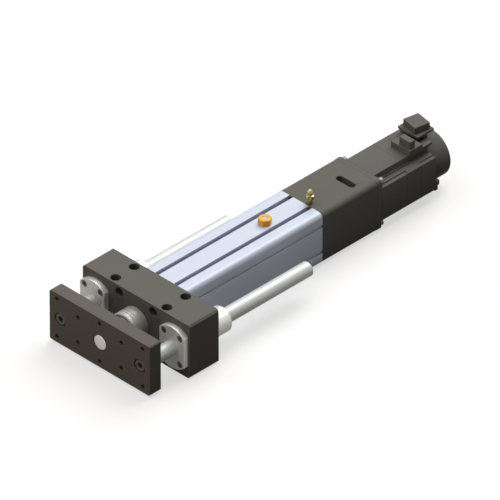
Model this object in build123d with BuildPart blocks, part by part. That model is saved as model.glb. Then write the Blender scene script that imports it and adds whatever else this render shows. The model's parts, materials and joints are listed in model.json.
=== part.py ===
from build123d import *
from math import radians, sin
import os

# Electric linear actuator with a twin-rod guide unit on its nose. Millimetres.
# Origin: middle of the guide block's bottom face, which is also the middle of the
# base bolt pattern. X runs across the rods, Y from the tool plate back to the motor,
# and Z up. The tool plate moves out towards -Y.

# Fits
seat_fit = 0.05          # radial, a part seated in its bore
running_fit = 0.05       # radial, a shaft that turns or slides
thread_fit = 0.05        # radial, a screw in its thread

# Guide block
block_width = 148.0
block_depth = 40.0
block_height = 63.0
block_chamfer = 2.0
base_hole_spacing_x = 71.0
base_hole_spacing_y = 25.5
base_hole_r = 3.3
base_counterbore_r = 5.5
base_counterbore_depth = 17.0

# Body section, shared by the extrusion, the housings and the motor flange
body_width = 60.0
body_corner_r = 5.5
body_screw_inset = 6.75
body_screw_recess = 12.0
body_screw_reach = 12.0

# Guide rods and their flanged bushes
rod_inset = 19.0
rod_r = 8.0
rod_length = 220.0
rod_end_chamfer = 1.5
bush_r = 14.0
bush_length = 70.0
bush_bore_r = 11.5
bush_end_chamfer = 0.8
bush_end_length = 3.0
bush_flange_r = 24.0
bush_flange_width = 34.0
bush_flange_thickness = 6.0
bush_screw_spacing_x = 22.0
bush_screw_spacing_z = 31.0
bush_screw_reach = 12.0

# Tool plate
plate_overhang = 14.5
plate_height = 58.5
plate_thickness = 15.0
plate_gap = 29.0
plate_corner_r = 2.5
plate_bore_r = 8.75
tool_hole_r = 2.5
outer_hole_inset_x = 10.0
outer_holes_z = 45.0
inner_holes_x = 60.0
inner_holes_z = 30.0
rod_seat_depth = 2.0
rod_screw_recess = 0.6
rod_screw_reach = 18.0

# Nose collar, the guide of the thrust tube
collar_r = 17.0
collar_reach = 18.0
collar_chamfer = 1.2
collar_groove_width = 0.7
collar_groove_depth = 0.6
collar_groove_setbacks = (5.0, 8.5)
collar_flange_r = 23.0
collar_flange_thickness = 5.0
collar_bore_r = 14.0
wiper_r = 15.0
wiper_length = 6.5
wiper_recess = 0.5
spigot_length = 4.0

# Thrust tube and its end piece
tube_r = 12.5
tube_bore_r = 9.0
tube_joint_overlap = 10.0
nose_r = 8.0
nose_recess = 0.3
nose_flange_thickness = 4.0
nose_plug_length = 16.0

# Extrusion
profile_length = 187.6
cylinder_bore_r = 20.0
slot_spacing = 26.2
slot_opening = 5.0
slot_lip = 1.8
slot_width = 8.2
slot_depth = 5.4
groove_spacing = 31.0
groove_opening = 3.0
groove_depth = 1.2

# Nut carrier, the piston that runs in the extrusion's bore
stroke = 100.0
carrier_r = 19.7
carrier_length = 54.0
carrier_setback = 4.6
wear_ring_offset = 14.0
wear_ring_length = 10.0
wear_ring_depth = 2.0
magnet_offset = 32.0
magnet_length = 5.0
magnet_depth = 4.0
nut_r = 14.0
nut_length = 40.0
nut_ring_length = 4.0
damper_length = 3.0
damper_clearance = 0.2

# Ball screw
screw_r = 8.0
screw_tip_clearance = 6.0
screw_tip_r = 5.0
tip_ring_length = 6.0
journal_r = 6.0
screw_end_r = 5.0

# Bearing housing
bearing_housing_length = 32.4
housing_spigot_length = 3.0
housing_front_wall = 5.4
screw_clearance = 1.0
bearing_r = 16.0
bearing_width = 10.0
bearing_count = 2
bearing_cover_length = 5.0
bearing_cover_bore_r = 13.0
lock_nut_r = 12.0
lock_nut_length = 7.0
nipple_x = 8.0
nipple_setback = 4.4
nipple_thread_r = 2.5
nipple_thread_length = 8.0
nipple_stem_r = 2.8
nipple_stem_height = 5.6
nipple_hex_r = 4.6
nipple_hex_height = 3.6
nipple_shoulder_r = 3.2
nipple_shoulder_height = 0.8
nipple_neck_r = 2.3
nipple_neck_height = 1.6
nipple_head_r = 3.4
nipple_head_height = 5.6
grease_hole_r = 1.25
grease_hole_floor = 4.0

# Coupling housing and jaw coupling
coupling_housing_length = 44.2
coupling_r = 15.0
coupling_gap = 2.0
hub_length = 14.0
jaw_length = 10.0
jaw_root_r = 9.0
jaw_count = 3
jaw_angle = 34.0
jaw_clearance = 0.2
spider_bore_r = 7.6
housing_screw_inset = 5.5
housing_screw_z = 26.0
window_length = 24.5
window_width = 8.0
window_x = 7.3
window_setback = 23.0
window_depth = 14.0

# Motor
motor_flange_thickness = 6.0
motor_pilot_r = 25.0
motor_pilot_length = 3.0
motor_screw_inset = 5.25
motor_screw_reach = 12.0
front_bell_length = 36.8
stator_frame_length = 19.2
rear_bell_length = 20.0
notch_width = 10.7
notch_wall = 6.9
notch_ledge = 0.9
notch_slope = 3.6
notch_step = 0.6
rib_width = 1.6
rib_height = 0.6
motor_wall = 4.0
bell_front_wall = 6.8
bell_rear_wall = 8.2
motor_shaft_r = 7.0
motor_shaft_reach = 24.0
front_seat_r = 7.5
front_bearing_r = 16.0
front_bearing_width = 9.0
rear_seat_r = 6.0
rear_bearing_r = 13.0
rear_bearing_width = 8.0
rear_boss_r = 17.0
rear_boss_length = 5.0
rotor_r = 15.0
rotor_length = 42.0
magnet_thickness = 2.5
air_gap = 0.7
stator_yoke = 2.2
stator_slots = 12
stator_slot_width = 4.4
winding_length = 6.0
winding_gap = 0.8
clip_ear_thickness = 4.8
clip_ears = ((-15.5, 5.3, 5.3), (-20.6, 4.6, 3.2))

# Encoder cover and the connectors on top of the motor
cover_r = 26.0
cover_length = 25.2
cover_wall = 2.0
cover_edge_r = 0.8
saddle_width = 32.0
saddle_front = -4.8
saddle_bow = 1.3
saddle_back = 18.8
saddle_height = 7.4
power_flange_width = 28.0
power_flange_length = 23.3
power_flange_thickness = 2.5
power_centre_y = 2.2
power_block_width = 20.2
power_block_length = 18.2
power_block_height = 7.5
power_block_shift = 0.8
power_block_turn = -10.3
signal_base_left = -4.2
signal_base_width = 26.1
signal_base_length = 18.1
signal_base_height = 6.4
signal_base_end = 10.6
signal_step_length = 13.2
signal_step_height = 2.7
signal_step_width = 9.0
signal_block_inset_x = 1.7
signal_block_inset_y = 2.0
signal_block_width = 14.8
signal_block_length = 7.0
signal_block_height = 8.9
disc_r = 15.0
disc_thickness = 1.2
disc_gap = 4.0
board_r = 21.0
board_thickness = 1.6
board_gap = 10.0
spacer_r = 2.5
spacer_spread = 17.5
encoder_stub_r = 4.0

# Breather plug in the top of the extrusion
plug_y = 157.0
plug_x = 0.5
plug_thread_r = 5.0
plug_thread_length = 8.0
plug_hex_r = 7.2
plug_hex_height = 6.4
plug_disc_r = 3.0
plug_disc_recess = 0.6
plug_disc_thickness = 1.6

# Cap screws: thread radius, head radius, head height, socket size across flats
m4_screw = (2.0, 3.5, 4.0, 3.0)
m5_screw = (2.5, 4.25, 5.0, 4.0)
m6_screw = (3.0, 5.0, 6.0, 5.0)
m8_screw = (4.0, 6.5, 8.0, 6.0)
head_clearance = 0.5

# Hole patterns and places along the axis, worked out from the sizes above
rod_spacing = block_width - 2 * rod_inset
plate_width = rod_spacing + 2 * plate_overhang
outer_holes_x = plate_width - 2 * outer_hole_inset_x
body_screw_spacing = body_width - 2 * body_screw_inset
motor_screw_spacing = body_width - 2 * motor_screw_inset
housing_screw_x = body_width - 2 * housing_screw_inset
axis_z = block_height / 2
body_half = body_width / 2
block_front = -block_depth / 2
block_back = block_depth / 2
flange_front = block_front - bush_flange_thickness
plate_back = flange_front - plate_gap
plate_front = plate_back - plate_thickness
rod_front = plate_back - rod_seat_depth
rod_rear = rod_front + rod_length
collar_front = block_front - collar_reach
wiper_front = collar_front + wiper_recess
wiper_rear = wiper_front + wiper_length
profile_back = block_back + profile_length
housing_back = profile_back + bearing_housing_length
spigot_front = profile_back - housing_spigot_length
bearing_front = profile_back + housing_front_wall
bearing_back = bearing_front + bearing_count * bearing_width
carrier_rear = spigot_front - carrier_setback
carrier_front = carrier_rear - carrier_length
nut_rear = carrier_rear - nut_ring_length
nut_front = nut_rear - nut_length
tube_rear = nut_front
tube_front = plate_back + nose_flange_thickness
screw_tip = block_back + spigot_length + screw_tip_clearance
screw_thread_start = screw_tip + tip_ring_length
lock_nut_back = bearing_back + lock_nut_length
coupling_front = housing_back + coupling_gap
hub_a_back = coupling_front + hub_length
hub_b_front = hub_a_back + jaw_length
coupling_back = hub_b_front + hub_length
coupling_housing_back = housing_back + coupling_housing_length
pilot_front = coupling_housing_back - motor_pilot_length
motor_flange_back = coupling_housing_back + motor_flange_thickness
front_bell_back = motor_flange_back + front_bell_length
stator_frame_back = front_bell_back + stator_frame_length
motor_back = stator_frame_back + rear_bell_length
cover_back = motor_back + cover_length
front_bearing_back = motor_flange_back + bell_front_wall
front_bearing_front = front_bearing_back - front_bearing_width
rear_bearing_back = motor_back - rear_boss_length + 1.0
rear_bearing_front = rear_bearing_back - rear_bearing_width
rear_wall_front = motor_back - bell_rear_wall
rotor_middle = (front_bell_back + stator_frame_back) / 2 - 7.0
rotor_front = rotor_middle - rotor_length / 2
rotor_back = rotor_middle + rotor_length / 2
body_top = axis_z + body_half
motor_bore_r = body_half - motor_wall
saddle_top = body_top + saddle_height


def across(y, x=0.0):
    """Plane square to the axis at y, seen from the front, with Z up. It extrudes forwards."""
    return Plane(origin=(x, y, axis_z), x_dir=(1, 0, 0), z_dir=(0, -1, 0))


def facing_back(y, x=0.0, z=0.0):
    """Plane square to the axis, seen from the motor end. x and z are measured from the axis."""
    return Plane(origin=(x, y, axis_z + z), x_dir=(-1, 0, 0), z_dir=(0, 1, 0))


def four_corners(width, height):
    """The four corners of a rectangle about the axis, as (x, z) pairs."""
    return [(x, z) for x in (-width / 2, width / 2) for z in (-height / 2, height / 2)]


def turned(outline, x=0.0):
    """A turned piece on an axis parallel to Y. The outline is a closed list of (y, radius)."""
    with BuildPart() as piece:
        with BuildSketch(Plane(origin=(x, 0, axis_z), x_dir=(0, 1, 0), z_dir=(1, 0, 0))):
            with BuildLine():
                Polyline(*outline, close=True)
            make_face()
        revolve(axis=Axis((x, 0, axis_z), (0, 1, 0)))
    return piece.part


def ring(front, back, inner_r, outer_r, x=0.0):
    """A plain ring or sleeve about an axis parallel to Y."""
    return turned([(front, inner_r), (back, inner_r), (back, outer_r), (front, outer_r)], x)


def cap_screw(size, length):
    """A socket head cap screw. The head's top is at the origin, facing +Z."""
    thread_r, head_r, head_height, socket = size
    with BuildPart() as screw:
        with BuildSketch():
            Circle(head_r)
        extrude(amount=-head_height)
        chamfer(screw.edges().group_by(Axis.Z)[-1], length=head_height * 0.1)
        with BuildSketch(Plane.XY.offset(-head_height)):
            Circle(thread_r)
        extrude(amount=-length)
        with BuildSketch():
            RegularPolygon(socket / 2, 6, major_radius=False)
        extrude(amount=-head_height * 0.55, mode=Mode.SUBTRACT)
    return screw.part


def screw_group(size, length, planes):
    """The same cap screw at each plane, its head's top on the plane's origin."""
    screw = cap_screw(size, length)
    with BuildPart() as group:
        with Locations(*[Location(plane) for plane in planes]):
            add(screw)
    return group.part


def save(name, part):
    """Label a finished piece and write its file."""
    part.label = name
    export_step(part, f"parts/{name}.step")


def make_guide_block():
    """The black block that carries the bushes, the nose collar and the mounting holes."""
    m6_r, m6_head_r, m6_head, _ = m6_screw
    m4_r = m4_screw[0]
    with BuildPart() as guide_block:
        with BuildSketch(across(block_back)):
            Rectangle(block_width, block_height)
            chamfer(vertices(), length=block_chamfer)
        extrude(amount=block_depth)
        with BuildSketch(across(block_back)):
            Circle(collar_r + seat_fit)
            with Locations((-rod_spacing / 2, 0), (rod_spacing / 2, 0)):
                Circle(bush_r + seat_fit)
            with Locations(*four_corners(body_screw_spacing, body_screw_spacing)):
                Circle(m6_r + 0.3)
        extrude(amount=block_depth, mode=Mode.SUBTRACT)
        with BuildSketch(across(block_back)):
            Circle(collar_flange_r + seat_fit)
        extrude(amount=collar_flange_thickness, mode=Mode.SUBTRACT)
        with BuildSketch(across(block_front)):
            with Locations(*four_corners(body_screw_spacing, body_screw_spacing)):
                Circle(m6_head_r + head_clearance)
        extrude(amount=-(body_screw_recess + m6_head), mode=Mode.SUBTRACT)
        with BuildSketch(across(block_front)):
            for side in (-1, 1):
                with Locations((side * rod_spacing / 2, 0)):
                    with GridLocations(bush_screw_spacing_x, bush_screw_spacing_z, 2, 2):
                        Circle(m4_r + thread_fit)
        extrude(amount=-(bush_screw_reach + 1.0), mode=Mode.SUBTRACT)
        with Locations(Location((0, 0, block_height))):
            with GridLocations(base_hole_spacing_x, base_hole_spacing_y, 2, 2):
                CounterBoreHole(base_hole_r, base_counterbore_r, base_counterbore_depth)
    return guide_block.part


def make_bush(x):
    """A flanged linear bush: a sleeve with a round flange cut to two flats."""
    m4_r, m4_head_r, m4_head, _ = m4_screw
    sleeve_back = flange_front + bush_length
    with BuildPart() as bush:
        with BuildSketch(across(block_front, x)):
            Circle(bush_flange_r)
            Rectangle(bush_flange_width, 3 * bush_flange_r, mode=Mode.INTERSECT)
        extrude(amount=bush_flange_thickness)
        with BuildSketch(across(sleeve_back, x)):
            Circle(bush_r)
        extrude(amount=bush_length - bush_flange_thickness)
        chamfer(bush.faces().sort_by(Axis.Y)[-1].edges(), length=bush_end_chamfer)
        with BuildSketch(across(sleeve_back, x)):
            Circle(bush_bore_r)
        extrude(amount=bush_length, mode=Mode.SUBTRACT)
        with BuildSketch(across(flange_front, x)):
            with GridLocations(bush_screw_spacing_x, bush_screw_spacing_z, 2, 2):
                Circle(m4_head_r + head_clearance / 2)
        extrude(amount=-(m4_head + 0.1), mode=Mode.SUBTRACT)
        with BuildSketch(across(flange_front, x)):
            with GridLocations(bush_screw_spacing_x, bush_screw_spacing_z, 2, 2):
                Circle(m4_r + 0.25)
        extrude(amount=-bush_flange_thickness, mode=Mode.SUBTRACT)
    return bush.part


def make_ball_sleeve(x):
    """The ball retainer sleeve inside a bush, which runs on the rod."""
    return ring(flange_front + bush_end_length, flange_front + bush_length - bush_end_length,
                rod_r + running_fit, bush_bore_r - seat_fit, x)


def make_bush_end_rings(x):
    """The two end rings of a bush, which keep its balls in."""
    back = flange_front + bush_length
    inner_r = rod_r + running_fit
    outer_r = bush_bore_r - seat_fit
    with BuildPart() as rings:
        add(ring(flange_front, flange_front + bush_end_length, inner_r, outer_r, x))
        add(ring(back - bush_end_length, back, inner_r, outer_r, x))
    return rings.part


def make_guide_rod(x):
    """A ground guide rod with a thread for the plate's screw in its front end."""
    m8_r = m8_screw[0]
    thread_r = m8_r + thread_fit
    thread_end = rod_front + rod_screw_reach + 2.0
    return turned([(rod_front, thread_r), (thread_end, thread_r), (thread_end + m8_r, 0),
                   (rod_rear, 0), (rod_rear, rod_r - rod_end_chamfer),
                   (rod_rear - rod_end_chamfer, rod_r),
                   (rod_front, rod_r)], x)


def make_tool_plate():
    """The front plate that carries the load, with its tapped holes."""
    m8_r, m8_head_r, m8_head, _ = m8_screw
    rod_places = [(-rod_spacing / 2, 0), (rod_spacing / 2, 0)]
    with BuildPart() as tool_plate:
        with BuildSketch(across(plate_back)):
            RectangleRounded(plate_width, plate_height, plate_corner_r)
            Circle(plate_bore_r, mode=Mode.SUBTRACT)
            with GridLocations(outer_holes_x, outer_holes_z, 2, 2):
                Circle(tool_hole_r, mode=Mode.SUBTRACT)
            with GridLocations(inner_holes_x, inner_holes_z, 2, 2):
                Circle(tool_hole_r, mode=Mode.SUBTRACT)
            with GridLocations(1, outer_holes_z, 1, 2):
                Circle(tool_hole_r, mode=Mode.SUBTRACT)
            with Locations(*rod_places):
                Circle(m8_r + head_clearance, mode=Mode.SUBTRACT)
        extrude(amount=plate_thickness)
        with BuildSketch(across(plate_front)):
            with Locations(*rod_places):
                Circle(m8_head_r + 0.9)
        extrude(amount=-(m8_head + rod_screw_recess), mode=Mode.SUBTRACT)
        with BuildSketch(across(plate_back)):
            with Locations(*rod_places):
                Circle(rod_r + seat_fit)
        extrude(amount=rod_seat_depth, mode=Mode.SUBTRACT)
    return tool_plate.part


def make_nose_collar():
    """The collar that guides the thrust tube. Its rear flange is trapped behind the block."""
    flange_step = block_back - collar_flange_thickness
    spigot_back = block_back + spigot_length
    wiper_seat = wiper_rear
    outline = [(collar_front, wiper_r), (collar_front, collar_r - collar_chamfer),
               (collar_front + collar_chamfer, collar_r)]
    for setback in collar_groove_setbacks:
        groove = collar_front + setback
        outline += [(groove, collar_r), (groove, collar_r - collar_groove_depth),
                    (groove + collar_groove_width, collar_r - collar_groove_depth),
                    (groove + collar_groove_width, collar_r)]
    outline += [(flange_step, collar_r), (flange_step, collar_flange_r),
                (block_back, collar_flange_r), (block_back, cylinder_bore_r - seat_fit),
                (spigot_back, cylinder_bore_r - seat_fit), (spigot_back, collar_bore_r),
                (wiper_seat, collar_bore_r), (wiper_seat, wiper_r)]
    return turned(outline)


def make_profile():
    """The extruded body: cylinder bore, screw channels, T-slots and sensor grooves."""
    m6_r = m6_screw[0]
    with BuildPart() as profile:
        with BuildSketch(across(profile_back)):
            RectangleRounded(body_width, body_width, body_corner_r)
            Circle(cylinder_bore_r, mode=Mode.SUBTRACT)
            with Locations(*four_corners(body_screw_spacing, body_screw_spacing)):
                Circle(m6_r + thread_fit, mode=Mode.SUBTRACT)
            for side in (-1, 1):
                with GridLocations(slot_spacing, 1, 2, 1):
                    with Locations((0, side * (body_half - slot_lip / 2))):
                        Rectangle(slot_opening, slot_lip, mode=Mode.SUBTRACT)
                    with Locations((0, side * (body_half - (slot_lip + slot_depth) / 2))):
                        Rectangle(slot_width, slot_depth - slot_lip, mode=Mode.SUBTRACT)
                with GridLocations(1, groove_spacing, 1, 2):
                    with Locations((side * (body_half - groove_depth / 2), 0)):
                        Rectangle(groove_depth, groove_opening, mode=Mode.SUBTRACT)
        extrude(amount=profile_length)
        with BuildSketch(Plane.XY.offset(body_top)):
            with Locations((plug_x, plug_y)):
                Circle(plug_thread_r + thread_fit)
        extrude(amount=-body_half, mode=Mode.SUBTRACT)
    return profile.part


def make_breather_plug():
    """The hexagon breather plug, with a pocket for its sintered disc."""
    with BuildPart() as plug:
        with BuildSketch(Plane.XY.offset(body_top)):
            with Locations((plug_x, plug_y)):
                RegularPolygon(plug_hex_r, 6)
        extrude(amount=plug_hex_height)
        chamfer(plug.edges().group_by(Axis.Z)[-1], length=0.9)
        with BuildSketch(Plane.XY.offset(body_top)):
            with Locations((plug_x, plug_y)):
                Circle(plug_thread_r)
        extrude(amount=-plug_thread_length)
        with BuildSketch(Plane.XY.offset(body_top + plug_hex_height)):
            with Locations((plug_x, plug_y)):
                Circle(plug_disc_r)
        extrude(amount=-(plug_disc_recess + plug_disc_thickness), mode=Mode.SUBTRACT)
        with BuildSketch(Plane.XY.offset(body_top - plug_thread_length)):
            with Locations((plug_x, plug_y)):
                Circle(plug_disc_r / 2)
        extrude(amount=plug_thread_length + plug_hex_height, mode=Mode.SUBTRACT)
    return plug.part


def make_breather_disc():
    """The sintered disc that lets air through the plug."""
    top = body_top + plug_hex_height - plug_disc_recess
    with BuildPart() as disc:
        with BuildSketch(Plane.XY.offset(top)):
            with Locations((plug_x, plug_y)):
                Circle(plug_disc_r - seat_fit / 2)
        extrude(amount=-plug_disc_thickness)
    return disc.part


def make_rod_end():
    """The end of the thrust tube: a nose through the plate, a shoulder and a plug."""
    plug_r = tube_bore_r - seat_fit
    plug_back = tube_front + nose_plug_length
    nose_front = plate_front + nose_recess
    return turned([(nose_front, 0), (nose_front, nose_r - 0.4), (nose_front + 0.4, nose_r),
                   (plate_back, nose_r), (plate_back, tube_r), (tube_front, tube_r),
                   (tube_front, plug_r), (plug_back, plug_r), (plug_back, 0)])


def make_nut_carrier():
    """The piston that holds the ball nut and the tube, grooved for its rings."""
    wear_front = carrier_front + wear_ring_offset
    wear_back = wear_front + wear_ring_length
    magnet_front = carrier_front + magnet_offset
    magnet_back = magnet_front + magnet_length
    wear_r = carrier_r - wear_ring_depth
    magnet_r = carrier_r - magnet_depth
    return turned([(carrier_front, tube_r + seat_fit), (carrier_front, carrier_r - 1.0),
                   (carrier_front + 1.0, carrier_r), (wear_front, carrier_r), (wear_front, wear_r),
                   (wear_back, wear_r), (wear_back, carrier_r), (magnet_front, carrier_r),
                   (magnet_front, magnet_r), (magnet_back, magnet_r), (magnet_back, carrier_r),
                   (carrier_rear, carrier_r), (carrier_rear, nut_r + seat_fit),
                   (nut_front, nut_r + seat_fit), (nut_front, tube_r + seat_fit)])


def make_ball_screw():
    """The ball screw, with its bearing journal and coupling end."""
    return turned([(screw_tip, 0), (screw_tip, screw_tip_r), (screw_thread_start, screw_tip_r),
                   (screw_thread_start, screw_r), (bearing_front, screw_r),
                   (bearing_front, journal_r), (lock_nut_back, journal_r),
                   (lock_nut_back, screw_end_r), (hub_a_back, screw_end_r), (hub_a_back, 0)])


def bearing_outer(front, width, inner_r, outer_r):
    """A bearing's outer ring with a thin shield at each side."""
    wall = (outer_r - inner_r) * 0.32
    shield_r = inner_r + (outer_r - inner_r) * 0.32 + 0.2
    shield = 0.6
    back = front + width
    return turned([(front, outer_r), (back, outer_r), (back, shield_r), (back - shield, shield_r),
                   (back - shield, outer_r - wall), (front + shield, outer_r - wall),
                   (front + shield, shield_r), (front, shield_r)])


def bearing_inner(front, width, inner_r, outer_r):
    """A bearing's inner ring."""
    return ring(front, front + width, inner_r, inner_r + (outer_r - inner_r) * 0.32)


def make_screw_bearings():
    """The outer rings of the bearing set that takes the thrust of the ball screw."""
    with BuildPart() as rings:
        for index in range(bearing_count):
            add(bearing_outer(bearing_front + index * bearing_width, bearing_width,
                              journal_r + seat_fit, bearing_r - seat_fit))
    return rings.part


def make_screw_bearing_inners():
    """The inner rings of the same bearing set, which turn with the ball screw."""
    with BuildPart() as rings:
        for index in range(bearing_count):
            add(bearing_inner(bearing_front + index * bearing_width, bearing_width,
                              journal_r + seat_fit, bearing_r - seat_fit))
    return rings.part


def make_bearing_housing():
    """The housing behind the extrusion, bored for the ball screw's bearings."""
    m6_r, m6_head_r, m6_head, _ = m6_screw
    m4_r = m4_screw[0]
    with BuildPart() as housing:
        with BuildSketch(across(housing_back)):
            RectangleRounded(body_width, body_width, body_corner_r)
        extrude(amount=bearing_housing_length)
        with BuildSketch(across(profile_back)):
            Circle(cylinder_bore_r - seat_fit)
        extrude(amount=housing_spigot_length)
        with BuildSketch(across(housing_back)):
            Circle(screw_r + screw_clearance)
            with Locations(*four_corners(body_screw_spacing, body_screw_spacing)):
                Circle(m6_r + 0.3)
        extrude(amount=bearing_housing_length + housing_spigot_length, mode=Mode.SUBTRACT)
        with BuildSketch(across(housing_back)):
            Circle(bearing_r)
        extrude(amount=housing_back - bearing_front, mode=Mode.SUBTRACT)
        with BuildSketch(across(housing_back)):
            Circle(cylinder_bore_r)
        extrude(amount=housing_back - bearing_back, mode=Mode.SUBTRACT)
        with BuildSketch(across(housing_back)):
            with Locations(*four_corners(body_screw_spacing, body_screw_spacing)):
                Circle(m6_head_r + head_clearance)
        extrude(amount=m6_head + 0.2, mode=Mode.SUBTRACT)
        with BuildSketch(across(housing_back)):
            with Locations(*four_corners(housing_screw_x, housing_screw_z)):
                Circle(m4_r + thread_fit)
        extrude(amount=motor_screw_reach + 1.0, mode=Mode.SUBTRACT)
        with BuildSketch(Plane.XY.offset(body_top)):
            with Locations((nipple_x, profile_back + nipple_setback)):
                Circle(nipple_thread_r + thread_fit)
        extrude(amount=-nipple_thread_length, mode=Mode.SUBTRACT)
        with BuildSketch(Plane.XY.offset(body_top)):
            with Locations((nipple_x, profile_back + nipple_setback)):
                Circle(grease_hole_r)
        extrude(amount=-(body_half - grease_hole_floor), mode=Mode.SUBTRACT)
    return housing.part


def make_grease_nipple():
    """The brass grease nipple: thread, hexagon, neck and ball head."""
    centre = (nipple_x, profile_back + nipple_setback)
    hex_top = nipple_stem_height + nipple_hex_height
    neck_top = hex_top + nipple_neck_height
    tip = neck_top + nipple_head_height
    with BuildPart() as nipple:
        with BuildSketch(Plane(origin=(*centre, body_top), x_dir=(1, 0, 0), z_dir=(0, -1, 0))):
            with BuildLine():
                Polyline((0, -nipple_thread_length), (nipple_thread_r, -nipple_thread_length),
                         (nipple_thread_r, 0), (nipple_stem_r, 0),
                         (nipple_stem_r, nipple_stem_height),
                         (nipple_shoulder_r, nipple_stem_height), (nipple_shoulder_r, hex_top),
                         (nipple_neck_r, hex_top + nipple_shoulder_height),
                         (nipple_neck_r, neck_top), (nipple_head_r, neck_top + 1.4),
                         (nipple_head_r, tip - 2.2), (nipple_head_r - 1.4, tip - 0.4),
                         (0, tip), close=True)
            make_face()
        revolve(axis=Axis((*centre, 0), (0, 0, 1)))
        with BuildSketch(Plane.XY.offset(body_top + nipple_stem_height)):
            with Locations(centre):
                RegularPolygon(nipple_hex_r, 6)
        extrude(amount=nipple_hex_height)
    return nipple.part


def make_coupling_housing():
    """The housing over the jaw coupling, with the window for its clamp screw."""
    m4_r, m4_head_r, m4_head, _ = m4_screw
    m5_r = m5_screw[0]
    window_y = housing_back + window_setback
    with BuildPart() as housing:
        with BuildSketch(across(coupling_housing_back)):
            RectangleRounded(body_width, body_width, body_corner_r)
            Circle(cylinder_bore_r, mode=Mode.SUBTRACT)
            with Locations(*four_corners(housing_screw_x, housing_screw_z)):
                Circle(m4_r + 0.25, mode=Mode.SUBTRACT)
        extrude(amount=coupling_housing_length)
        with BuildSketch(across(coupling_housing_back)):
            Circle(motor_pilot_r + seat_fit)
        extrude(amount=motor_pilot_length, mode=Mode.SUBTRACT)
        with BuildSketch(across(coupling_housing_back)):
            with Locations(*four_corners(housing_screw_x, housing_screw_z)):
                Circle(m4_head_r + head_clearance / 2)
        extrude(amount=motor_pilot_length + m4_head + 0.2, mode=Mode.SUBTRACT)
        with BuildSketch(across(coupling_housing_back)):
            with Locations(*four_corners(motor_screw_spacing, motor_screw_spacing)):
                Circle(m5_r + thread_fit)
        extrude(amount=motor_screw_reach + 1.0, mode=Mode.SUBTRACT)
        with BuildSketch(Plane.XY.offset(body_top)):
            with Locations((window_x, window_y)):
                SlotOverall(window_length, window_width)
        extrude(amount=-window_depth, mode=Mode.SUBTRACT)
    return housing.part


def jaw_sketch(plane, turn):
    """The jaws of one hub: sectors of a ring, spread evenly about the axis."""
    with BuildSketch(plane) as jaws:
        with BuildLine():
            outer = CenterArc((0, 0), coupling_r, -jaw_angle / 2, jaw_angle)
            inner = CenterArc((0, 0), jaw_root_r, -jaw_angle / 2, jaw_angle)
            Line(outer @ 0, inner @ 0)
            Line(outer @ 1, inner @ 1)
        make_face()
    with BuildSketch(plane) as pattern:
        with PolarLocations(0, jaw_count, start_angle=turn):
            add(jaws.sketch_local)
    return pattern.sketch


def make_screw_hub():
    """The coupling half on the ball screw's end, with jaws towards the motor."""
    with BuildPart() as hub:
        with BuildSketch(across(hub_a_back)):
            Circle(coupling_r)
            Circle(screw_end_r + seat_fit, mode=Mode.SUBTRACT)
        extrude(amount=hub_length)
        add(extrude(jaw_sketch(across(hub_b_front - jaw_clearance), 0),
                    amount=jaw_length - jaw_clearance, mode=Mode.PRIVATE))
    return hub.part


def make_motor_hub():
    """The coupling half on the motor shaft, its jaws between the other half's."""
    with BuildPart() as hub:
        with BuildSketch(across(coupling_back)):
            Circle(coupling_r)
            Circle(motor_shaft_r + seat_fit, mode=Mode.SUBTRACT)
        extrude(amount=hub_length)
        add(extrude(jaw_sketch(across(hub_b_front), 180 / jaw_count),
                    amount=jaw_length - jaw_clearance, mode=Mode.PRIVATE))
    return hub.part


def make_spider():
    """The elastic star between the jaws."""
    ring_r = jaw_root_r - jaw_clearance
    half_gap = radians(90 / jaw_count - jaw_angle / 2)
    arm_width = 2 * (ring_r * sin(half_gap) - jaw_clearance)
    with BuildPart() as spider:
        with BuildSketch(across(hub_b_front - jaw_clearance)):
            Circle(ring_r)
            with PolarLocations((ring_r + coupling_r) / 2 - 1.0, 2 * jaw_count,
                                start_angle=90 / jaw_count):
                Rectangle(coupling_r - ring_r, arm_width)
            Circle(spider_bore_r, mode=Mode.SUBTRACT)
        extrude(amount=jaw_length - 2 * jaw_clearance)
    return spider.part


def frame_section(ribbed):
    """Motor section: a square whose corners are cut back for the flange screws. Each cut
    has a wall, a narrow ledge, a slope and a lower ledge, with a rib along its outer edge."""
    flat = body_half - notch_width
    wall_foot = body_half - notch_wall
    slope_top = flat + notch_ledge
    slope_foot = slope_top + notch_slope
    low_ledge = wall_foot - notch_slope - notch_step
    corner = [(flat, body_half), (flat, wall_foot), (slope_top, wall_foot),
              (slope_foot, wall_foot - notch_slope), (slope_foot, low_ledge)]
    if ribbed:
        corner += [(body_half - rib_width, low_ledge),
                   (body_half - rib_width, low_ledge + rib_height),
                   (body_half, low_ledge + rib_height)]
    else:
        corner += [(body_half, low_ledge)]
    upper = [(-x, z) for x, z in reversed(corner)] + corner
    lower = [(-x, -z) for x, z in upper]
    return upper + lower


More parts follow.
